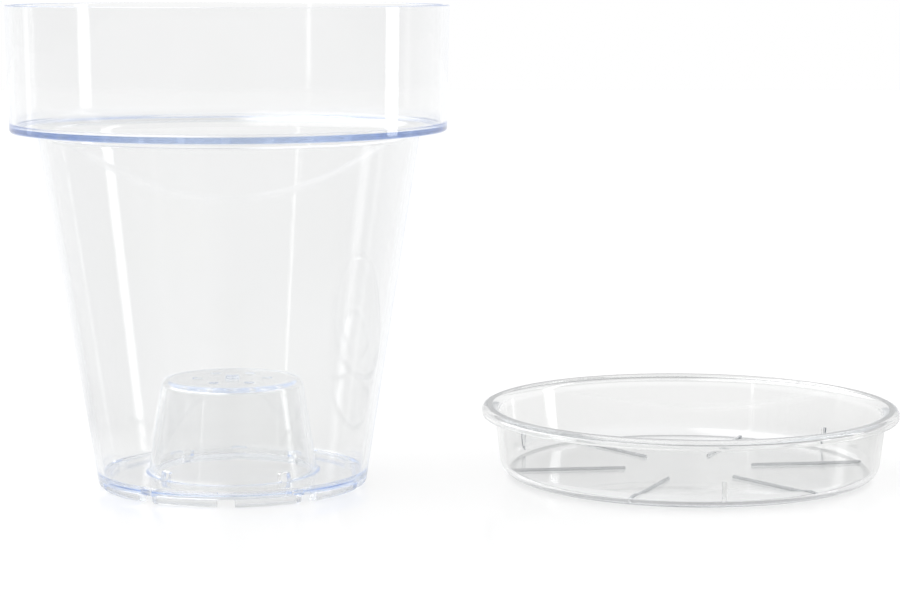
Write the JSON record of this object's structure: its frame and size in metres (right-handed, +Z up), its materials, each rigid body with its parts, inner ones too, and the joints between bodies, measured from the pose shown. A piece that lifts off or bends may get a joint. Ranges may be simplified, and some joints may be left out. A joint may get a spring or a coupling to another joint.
{
  "type": "clear orchid pot with saucer",
  "caption": "Clear moulded orchid pot with a deep stepped collar, tapered body and hollow air cone in its floor, beside its shallow ribbed clear saucer.",
  "frame": {"origin": "on the table the pair stands on, at the middle of the pair's footprint", "axes": "+Z up along the pot's axis; +X from the pot towards the saucer, along the pair; +Y towards the back, away from the viewer of the picture"},
  "size_m": [0.3074, 0.165, 0.1643],
  "materials": {
    "clear_pot": "clear polished styrene with a pale blue tint that shows at its edges",
    "clear_saucer": "clear polished styrene, nearly neutral"
  },
  "bodies": {
    "saucer": {"saucer": "clear_saucer"},
    "pot": {"pot": "clear_pot"}
  },
  "joints": [
    {"name": "pot_lift", "type": "slide", "parent": "saucer", "child": "pot", "axis": [0.8199, 0.0874, 0.5658], "range_m": [0, 0.19441]}
  ]
}
